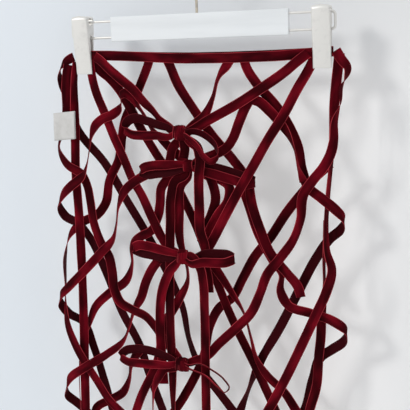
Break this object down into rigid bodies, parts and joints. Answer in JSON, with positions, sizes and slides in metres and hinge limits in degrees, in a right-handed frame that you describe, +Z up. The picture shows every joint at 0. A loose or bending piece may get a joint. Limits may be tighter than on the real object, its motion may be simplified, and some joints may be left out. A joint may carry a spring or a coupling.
{
  "type": "velvet ribbon net skirt with bows on a clip hanger",
  "caption": "Open net skirt of narrow velvet ribbon tied with bows, hanging flat from the two sliding clips of a hanger with a hook.",
  "frame": {"origin": "inside the top of the hook, where it rests on its rail", "axes": "+Z up, -Y out of the skirt's front, +X to the right as the front is looked at"},
  "size_m": [0.3958, 0.0645, 0.6577],
  "materials": {
    "velvet": "wine-red velvet with a soft sheen",
    "white_plastic": "satin white",
    "nickel": "warm satin nickel",
    "label_cloth": "plain off-white woven cloth"
  },
  "bodies": {
    "root": {"bar": "white_plastic", "hem": "velvet", "hook": "nickel", "jaw_back_left": "nickel", "jaw_back_right": "nickel", "jaw_front_left": "nickel", "jaw_front_right": "nickel", "knot_1": "velvet", "knot_2": "velvet", "knot_3": "velvet", "knot_4": "velvet", "loop_1_left": "velvet", "loop_1_right": "velvet", "loop_2_left": "velvet", "loop_2_right": "velvet", "loop_3_left": "velvet", "loop_3_right": "velvet", "loop_4_left": "velvet", "loop_4_right": "velvet", "net_back_cross": "velvet", "net_left_edge": "velvet", "net_left_hem": "velvet", "net_left_long": "velvet", "net_left_low": "velvet", "net_left_lowest": "velvet", "net_left_outer": "velvet", "net_right_edge": "velvet", "net_right_inner": "velvet", "net_right_loop": "velvet", "net_right_thin": "velvet", "net_waist_1": "velvet", "net_waist_2": "velvet", "net_waist_3": "velvet", "net_waist_4": "velvet", "pin_left": "nickel", "pin_right": "nickel", "rail": "nickel", "spring_left": "nickel", "spring_right": "nickel", "tail_1_long": "velvet", "tail_1_short": "velvet", "tail_2_a": "velvet", "tail_2_b": "velvet", "tail_2_c": "velvet", "tail_2_d": "velvet", "tail_2_e": "velvet", "tail_3_left": "velvet", "tail_3_right": "velvet", "tail_4_left": "velvet", "tie_1_left": "velvet", "tie_1_right": "velvet", "tie_2_left": "velvet", "tie_2_right": "velvet", "tie_3_left": "velvet", "tie_3_right": "velvet", "tie_4_left": "velvet", "tie_4_right": "velvet", "waist": "velvet", "woven_label": "label_cloth"}
  },
  "joints": []
}
